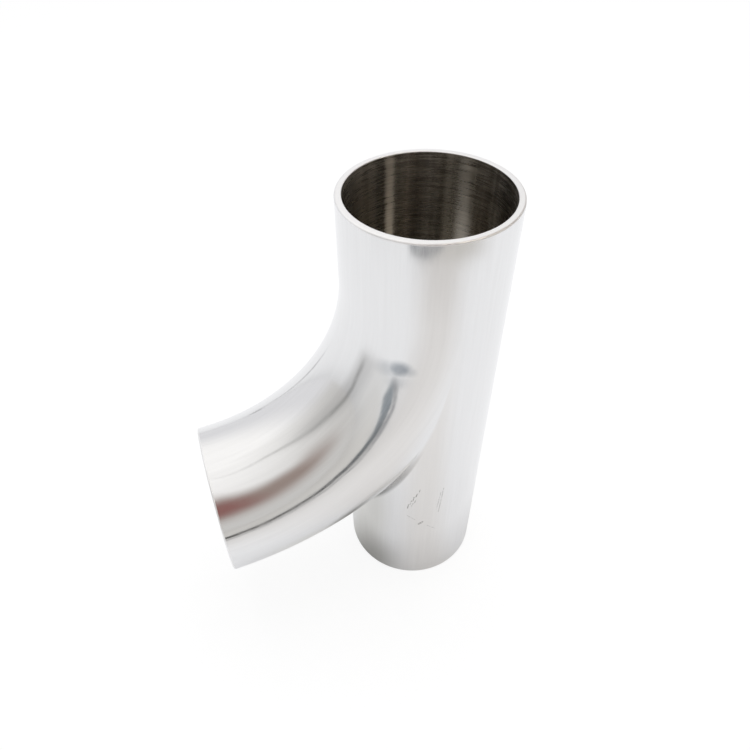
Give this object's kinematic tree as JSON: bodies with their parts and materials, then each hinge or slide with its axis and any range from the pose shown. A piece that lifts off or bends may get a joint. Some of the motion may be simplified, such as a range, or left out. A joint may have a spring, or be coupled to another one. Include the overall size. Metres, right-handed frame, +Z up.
{
  "type": "wye tee",
  "caption": "Polished stainless tube fitting: a straight run with a branch that leaves it tangentially and sweeps round to open square to the run, with plain ends for butt welding.",
  "frame": {"origin": "centre of the run's lower end, on the plane of that end", "axes": "+Z up along the run's axis, towards the end that the branch leaves from; -X along the branch's axis where it opens; +Y across, and the fitting is the same on both sides of the XZ plane"},
  "size_m": [0.0762, 0.0382, 0.12],
  "materials": {
    "polished_steel": "mechanically polished outside, honed satin bore"
  },
  "bodies": {
    "root": {"wye_body": "polished_steel"}
  },
  "joints": []
}
